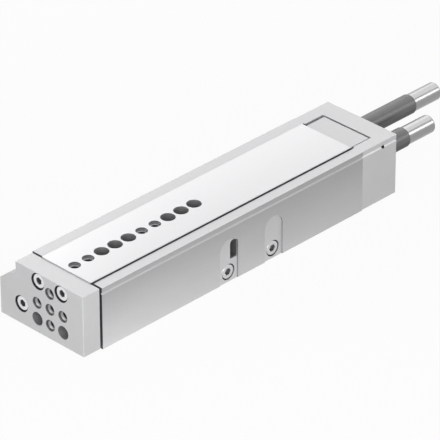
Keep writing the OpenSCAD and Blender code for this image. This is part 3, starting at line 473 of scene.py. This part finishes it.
def dress_nodes():
    """Gives each node of the part its finish."""
    for row in frame["record"]["subparts"]:
        name = row["node"]
        finish = FINISHES[row["material_slot"]]
        if name == "channel_plugs":
            # these balls get the near-black magnet finish as painted shade, deep in their drillings
            finish = FINISHES["magnet"]
        if name in HEAD_FACES:
            finish = screw_metal(name, *HEAD_FACES[name])
        materials = NODES[name].data.materials
        materials.clear()
        materials.append(finish)


# ---- cut threads and bored holes -------------------------------------------------------------

CLOSE = 0.03 * MM          # points this close to a wall count as on it
STEPS_PER_TURN = 36
RIDGE_FOOT = 0.94          # widths of a ridge's foot and crest, as shares of the pitch
RIDGE_CREST = 0.16
RIDGE_SEAT = 1.06          # a ridge's height with the part that sinks into the wall


def thread_tree():
    """A helical ridge for every point of a mesh, standing in a hole that opens at the point."""
    tree = bpy.data.node_groups.new("thread_ridges", "GeometryNodeTree")
    ways = tree.interface
    sockets = {}
    for label, kind in (("Holes", "NodeSocketGeometry"), ("Pitch", "NodeSocketFloat"),
                        ("Turns", "NodeSocketFloat"), ("Root Radius", "NodeSocketFloat"),
                        ("Ridge Height", "NodeSocketFloat"), ("Start", "NodeSocketFloat"),
                        ("Turn", "NodeSocketVector"), ("Finish", "NodeSocketMaterial")):
        sockets[label] = ways.new_socket(label, in_out="INPUT", socket_type=kind).identifier
    ways.new_socket("Ridges", in_out="OUTPUT", socket_type="NodeSocketGeometry")

    def node(kind, settings=None, inputs=None):
        return add_node(tree, kind, settings, inputs)

    def maths(operation, first, second):
        return node("ShaderNodeMath", {"operation": operation}, {0: first, 1: second}).outputs[0]

    given = node("NodeGroupInput").outputs
    length = maths("MULTIPLY", given["Pitch"], given["Turns"])
    mean_radius = maths("SUBTRACT", given["Root Radius"],
                        maths("MULTIPLY", given["Ridge Height"], 0.5))
    helix = node("GeometryNodeCurveSpiral", {}, {
        "Resolution": STEPS_PER_TURN, "Rotations": given["Turns"],
        "Start Radius": mean_radius, "End Radius": mean_radius, "Height": length})
    upright = node("GeometryNodeSetCurveNormal", {"mode": "Z_UP"}, {"Curve": helix.outputs[0]})
    flanks = node("GeometryNodeCurvePrimitiveQuadrilateral", {"mode": "TRAPEZOID"}, {
        "Bottom Width": maths("MULTIPLY", given["Pitch"], RIDGE_FOOT),
        "Top Width": maths("MULTIPLY", given["Pitch"], RIDGE_CREST),
        "Height": maths("MULTIPLY", given["Ridge Height"], RIDGE_SEAT), "Offset": 0.0})
    profile = node("GeometryNodeTransform", {}, {
        "Geometry": flanks.outputs[0], "Rotation": (0.0, 0.0, -math.pi / 2)})
    ridge = node("GeometryNodeCurveToMesh", {}, {
        "Curve": upright.outputs[0], "Profile Curve": profile.outputs[0], "Fill Caps": True})
    down = node("ShaderNodeCombineXYZ", {}, {
        "Z": maths("MULTIPLY", maths("ADD", length, given["Start"]), -1.0)})
    sunk = node("GeometryNodeTransform", {}, {
        "Geometry": ridge.outputs[0], "Translation": down.outputs[0]})
    holes = node("GeometryNodeInstanceOnPoints", {}, {
        "Points": given["Holes"], "Instance": sunk.outputs[0], "Rotation": given["Turn"]})
    real = node("GeometryNodeRealizeInstances", {}, {0: holes.outputs[0]})
    finished = node("GeometryNodeSetMaterial", {}, {
        "Geometry": real.outputs[0], "Material": given["Finish"]})
    tree.links.new(finished.outputs[0], node("NodeGroupOutput").inputs[0])
    return tree, sockets


THREAD_TREE, THREAD_INPUTS = thread_tree()

# How a ridge made along Z is turned to stand along each way out of a hole
AXIS_TURNS = {(1, 0, 0): (0.0, math.pi / 2, 0.0), (0, 0, 1): (0.0, 0.0, 0.0),
              (0, 0, -1): (math.pi, 0.0, 0.0), (0, -1, 0): (math.pi / 2, 0.0, 0.0)}


class Bore:
    """Sizes of a round hole, in metres.

    It has a drilled radius, the radius of its turned mouth and, where it is tapped, the radius
    of its thread's root and the thread's pitch.
    """

    def __init__(self, radius, root=None, mouth=None, pitch=None):
        self.radius, self.pitch = radius, pitch
        self.root, self.mouth = root or radius, mouth or radius
        self.tapped = self.root > self.radius


M5 = Bore(2.1 * MM, root=2.5 * MM, mouth=2.7 * MM, pitch=0.8 * MM)
M6 = Bore(2.5 * MM, root=3.0 * MM, mouth=3.45 * MM, pitch=1.0 * MM)
SLIDE_PILOT = Bore(4.3 * MM)
YOKE_PILOT = Bore(4.0 * MM)
SIDE_DRILLING = Bore(1.2 * MM, mouth=1.4 * MM)
HOLE_DEPTH = 9.0 * MM      # of the slide's holes and the yoke plate's plain ones
BASE_DEPTH = 7.5 * MM
PORT_DEPTH = 5.5 * MM
SIDE_DRILLING_DEPTH = 6.5 * MM
COUNTERBORE_RIM = 1.2 * MM    # a counterbore gets painted shade this far out past its screw's head
COUNTERBORE_REACH = 6.0 * MM  # and this far down, past the head's foot


class Hole:
    """A round hole in its place: its mouth, the way out of it, its sizes and its depth.

    `wall` names the finish of its wall where its sizes alone don't.
    """

    def __init__(self, mouth, out, size, depth, wall=None):
        self.mouth, self.out = mouth, Vector(out)
        self.size, self.depth, self.wall = size, depth, wall

    def measure(self, point):
        """Depth below the mouth, and the spoke from the hole's axis to the point."""
        away = point - self.mouth
        deep = -away.dot(self.out)
        return deep, away + self.out * deep


def hole_places(mount):
    """Mouth centres of a mount's holes: on a ring, in a row, in a rectangle, or one alone."""
    dims, centre = mount["dims"], Vector(mount["pos_m"])
    out = tuple(round(part) for part in mount["axis"])
    if "pcd_mm" in dims:
        reach = dims["pcd_mm"] / 2 * MM
        steps = [(0, reach, 0), (0, -reach, 0), (0, 0, reach), (0, 0, -reach)]
    else:
        along = dims.get("spacing_x_mm", 0.0) / 2 * MM
        across = dims.get("spacing_y_mm", 0.0) / 2 * MM
        row = Vector((0, 1, 0)) if out[0] else Vector((1, 0, 0))
        column = Vector((0, 1, 0))
        # a set, because the corners of a row or of one hole fall together
        steps = {tuple(row * along * a + column * across * b) for a in (-1, 1) for b in (-1, 1)}
    return out, [centre + Vector(step) for step in sorted(steps)]


def holes_of(names, face, size, depth):
    """The holes of some mounts, their mouths moved onto a face across the holes' axis."""
    found = []
    for name in names:
        out, places = hole_places(MOUNTS[name])
        way = [abs(part) for part in out].index(1)
        for place in places:
            place[way] = face
            found.append(Hole(place, out, size, depth))
    return found


def open_to_root(shape, hole):
    """Moves a tapped hole's wall, modelled at the drilled radius, out to its thread's root."""
    size = hole.size
    for vert in shape.verts:
        deep, spoke = hole.measure(vert.co)
        on_wall = abs(spoke.length - size.radius) <= CLOSE
        if on_wall and -CLOSE < deep < hole.depth + CLOSE:
            if CLOSE < deep < size.mouth - size.radius + CLOSE:
                deep = size.mouth - size.root
            vert.co = hole.mouth - hole.out * deep + spoke.normalized() * size.root


def finish_walls(shape, holes):
    """Picks the finish of every face that lies inside a hole."""
    for face in shape.faces:
        centre = face.calc_center_median()
        for hole in holes:
            size = hole.size
            deep, spoke = hole.measure(centre)
            in_mouth = all(hole.measure(vert.co)[1].length < size.mouth + CLOSE
                           for vert in face.verts)
            if in_mouth and CLOSE < deep < hole.depth + CLOSE:
                # darker wall finishes paint the shade inside the hole
                wall = SHADED_WALL if size.tapped else BORED_WALL
                face.material_index = hole.wall or (
                    wall if spoke.length < size.root + CLOSE else SHADED_MOUTH)


def carve(node, body, holes):
    """A node's copy whose tapped holes are opened to the roots of their threads."""
    mesh = NODES[node].data.copy()
    mesh.name = node + "_cut"
    # the node's own normals wouldn't fit the moved walls
    if mesh.has_custom_normals:
        mesh.attributes.remove(mesh.attributes["custom_normal"])
    shape = bmesh.new()
    shape.from_mesh(mesh)
    bmesh.ops.remove_doubles(shape, verts=shape.verts, dist=0.001 * MM)
    for hole in holes:
        if hole.size.tapped:
            open_to_root(shape, hole)
    finish_walls(shape, holes)
    shape.to_mesh(mesh)
    shape.free()
    shade_smooth(mesh)
    for finish in WALL_FINISHES:
        mesh.materials.append(finish)
    piece = add_object(node + "_cut", mesh)
    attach(piece, body)
    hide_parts(node)


def thread(name, body, holes, finish):
    """The ridges of the threads in a set of alike holes."""
    mesh = bpy.data.meshes.new(name + "_mouths")
    mesh.from_pydata([hole.mouth for hole in holes], [], [])
    maker = add_object(name + "_mouths", mesh)
    cutter = maker.modifiers.new("threads", "NODES")
    cutter.node_group = THREAD_TREE
    hole = holes[0]
    size = hole.size
    # the ridge starts under the mouth's chamfer and ends half a turn above the hole's floor
    start = size.mouth - size.root + RIDGE_FOOT / 2 * size.pitch
    sizes = {"Pitch": size.pitch, "Turns": (hole.depth - start) / size.pitch - 0.5,
             "Root Radius": size.root, "Ridge Height": size.root - size.radius,
             "Start": start, "Turn": AXIS_TURNS[tuple(round(part) for part in hole.out)],
             "Finish": finish}
    for label, value in sizes.items():
        cutter[THREAD_INPUTS[label]] = value
    graph = bpy.context.evaluated_depsgraph_get()
    ridges = bpy.data.meshes.new_from_object(maker.evaluated_get(graph))
    bpy.data.objects.remove(maker)
    ridges.name = name
    shade_smooth(ridges)
    piece = add_object(name, ridges)
    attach(piece, body)


def slide_holes(top):
    """The slide's tapped holes, and its plain ones."""
    taps = holes_of(("slide_threads_front", "slide_threads_middle"), top, M6, HOLE_DEPTH)
    pilots = holes_of(("slide_pilots_front", "slide_pilots_middle", "slide_pilots_rear"),
                      top, SLIDE_PILOT, HOLE_DEPTH)
    # one more hole of the row lies midway between those of each of these pairs
    for pair in ("slide_pilots_front", "slide_pilots_rear"):
        out, (first, second) = hole_places(MOUNTS[pair])
        place = (first + second) / 2
        place.z = top
        pilots.append(Hole(place, out, SLIDE_PILOT, HOLE_DEPTH))
    return taps, pilots


def yoke_counterbores(front):
    """The counterbores of the yoke plate's screws, placed by the screws' heads."""
    found = []
    heads = [(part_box("rod_screw"), 0)] + [(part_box("yoke_screws"), side) for side in (-1, 1)]
    for (low, high), side in heads:
        radius = (high[2] - low[2]) / 2
        across = (low[1] + high[1]) / 2 + side * ((high[1] - low[1]) / 2 - radius)
        mouth = Vector((front, across, (low[2] + high[2]) / 2))
        # the darkest wall finish paints shade in the counterbore
        found.append(Hole(mouth, (1, 0, 0), Bore(radius, mouth=radius + COUNTERBORE_RIM),
                          front - high[0] + COUNTERBORE_REACH, wall=SHADED_WALL))
    return found


def cap_drilling(side):
    """The small drilling in the cap's right side, placed by the ball that closes it."""
    low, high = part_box("channel_plugs")
    radius = SIDE_DRILLING.radius
    mouth = Vector((low[0] + radius, side, high[2] - radius))
    # the darkest wall finish paints shade in the drilling
    return Hole(mouth, (0, 1, 0), SIDE_DRILLING, SIDE_DRILLING_DEPTH, wall=SHADED_WALL)


def cut_holes():
    """Tapped and bored holes of the slide, the yoke plate, the housing and the rear cap."""
    (yoke_back, _, _), (yoke_front, _, _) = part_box("yoke_plate")
    (_, cap_left, _), (_, cap_right, _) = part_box("rear_cap")
    slide_taps, slide_pilots = slide_holes(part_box("slide")[1][2])
    yoke_taps = holes_of(("yoke_threads", "yoke_centre_thread"), yoke_front,
                         M6, yoke_front - yoke_back)
    yoke_pilots = holes_of(("yoke_pilots",), yoke_front, YOKE_PILOT, HOLE_DEPTH)
    base_taps = holes_of(("base_threads_front", "base_threads_rear"), 0.0, M5, BASE_DEPTH)
    port_taps = holes_of(("port_rear_chamber", "port_front_chamber"), cap_left, M5, PORT_DEPTH)
    carve("slide", "table", slide_taps + slide_pilots)
    carve("yoke_plate", "table",
          yoke_taps + yoke_pilots + yoke_counterbores(yoke_front))
    carve("housing", "base", base_taps)
    carve("rear_cap", "base", port_taps + [cap_drilling(cap_right)])
    thread("slide_threads", "table", slide_taps,
           cut_thread("slide_thread", 2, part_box("slide")[1][2], 1.0, 0.62))
    thread("yoke_threads", "table", yoke_taps,
           cut_thread("yoke_thread", 0, yoke_front, 1.0, 0.80))
    thread("base_threads", "base", base_taps,
           cut_thread("base_thread", 2, 0.0, -1.0, 0.6))
    thread("port_threads", "base", port_taps,
           cut_thread("port_thread", 1, cap_left, -1.0, 0.6))


# ---- camera, lamps and stage -----------------------------------------------------------------

WORLD_LEVEL = 0.16              # strength of the light from all around, where 1 is white
FLOOR_GLOW = 0.94               # share of plain white in the floor, as the eye sees it
FLOOR_HALF = 3.0
FLOOR_DROP = 0.2 * MM           # the part's underside stays clear of the floor

# What the lamps look at
MIDDLE = (-0.09, 0.0, 0.02)
LEFT_SIDE = (-0.09, -0.02, 0.02)
FRONT_END = (0.0, 0.0, 0.02)
REAR_END = (-0.25, 0.0, 0.025)

# Each lamp's name, place, aim, width, height and power
LAMPS = [
    ("overhead_softbox", (-0.05, 0.0, 1.4), MIDDLE, 1.2, 1.2, 0.7),
    ("left_rear_softbox", (-0.9, -0.9, 0.75), MIDDLE, 0.8, 0.8, 2.5),
    ("left_near_softbox", (-0.1, -0.5, 0.35), LEFT_SIDE, 0.6, 0.25, 0.7),
    ("right_front_softbox", (0.3, 0.42, 0.22), FRONT_END, 0.3, 0.3, 1.8),
    ("front_softbox", (1.1, 0.1, 0.6), FRONT_END, 0.8, 0.6, 3.5),
    ("rear_panel", (-0.585, -0.055, 0.45), REAR_END, 0.5, 0.25, 0.45),
    ("rear_right_panel", (-1.05, 0.86, 0.60), REAR_END, 0.5, 0.4, 2.2),
]


def make_camera():
    """A long lens, turned a hair about its own axis."""
    yaw, tilt, roll = math.radians(134.855), math.radians(31.010), math.radians(-0.139)
    target = Vector((-0.095032, 0.0, 0.020479))
    distance = 2.266898
    back = Vector((math.sin(yaw) * math.cos(tilt), -math.cos(yaw) * math.cos(tilt), math.sin(tilt)))
    right = Vector((math.cos(yaw), math.sin(yaw), 0.0))
    up = back.cross(right)
    side = right * math.cos(roll) + up * math.sin(roll)
    top = up * math.cos(roll) - right * math.sin(roll)
    lens = bpy.data.cameras.new("camera")
    lens.sensor_width = 36.0
    lens.lens = 335.5974
    lens.clip_start, lens.clip_end = 0.05, 60.0
    camera = add_object("camera", lens)
    camera.matrix_world = Matrix.Translation(target + back * distance) @ Matrix(
        (side, top, back)).transposed().to_4x4()
    bpy.context.scene.camera = camera


def softbox(name, place, aim, width, height, power):
    """A soft rectangular lamp that looks at `aim`."""
    lamp = bpy.data.lights.new(name, "AREA")
    lamp.shape = "RECTANGLE"
    lamp.size, lamp.size_y = width, height
    lamp.energy = power
    holder = add_object(name, lamp)
    holder.location = place
    holder.rotation_euler = (Vector(aim) - Vector(place)).to_track_quat("-Z", "Y").to_euler()


def seen_directly(s):
    """1 for rays from the eye and for reflected or refracted rays, 0 for light on the object."""
    path = s.node("ShaderNodeLightPath")
    camera, glossy, through = (Value(s, path.outputs[name]) for name in (
        "Is Camera Ray", "Is Glossy Ray", "Is Transmission Ray"))
    return camera.larger(glossy).larger(through)


def make_floor():
    """A pale floor that shows white to the eye and in reflections, and keeps soft shadows."""
    s = Shader("pale_floor")
    paint = s.node("ShaderNodeBsdfDiffuse", {}, {"Color": (0.80, 0.80, 0.80, 1.0)})
    glow = s.node("ShaderNodeEmission", {}, {"Color": (1.0, 1.0, 1.0, 1.0), "Strength": 1.0})
    s.finish(s.node("ShaderNodeMixShader", {}, {
        0: seen_directly(s) * FLOOR_GLOW, 1: paint.outputs[0], 2: glow.outputs[0]}).outputs[0])
    mesh = bpy.data.meshes.new("floor")
    mesh.from_pydata([(x * FLOOR_HALF, y * FLOOR_HALF, -FLOOR_DROP)
                      for x, y in ((-1, -1), (1, -1), (1, 1), (-1, 1))], [], [(0, 1, 2, 3)])
    mesh.materials.append(s.material)
    floor = add_object("floor", mesh)


def make_world():
    """Plain surroundings: white to the eye and in reflections, dimmer as light on the object."""
    world = bpy.data.worlds.new("surroundings")
    bpy.context.scene.world = world
    s = Shader("surroundings", world)
    dim, white = (s.node("ShaderNodeBackground", {}, {0: (1.0, 1.0, 1.0, 1.0), 1: strength})
                  for strength in (WORLD_LEVEL, 1.0))
    s.finish(s.node("ShaderNodeMixShader", {}, {
        0: seen_directly(s), 1: dim.outputs[0], 2: white.outputs[0]}).outputs[0])


dress_nodes()
cut_holes()
make_camera()
make_world()
make_floor()
for lamp in LAMPS:
    softbox(*lamp)

bpy.context.scene.view_settings.view_transform = "Standard"
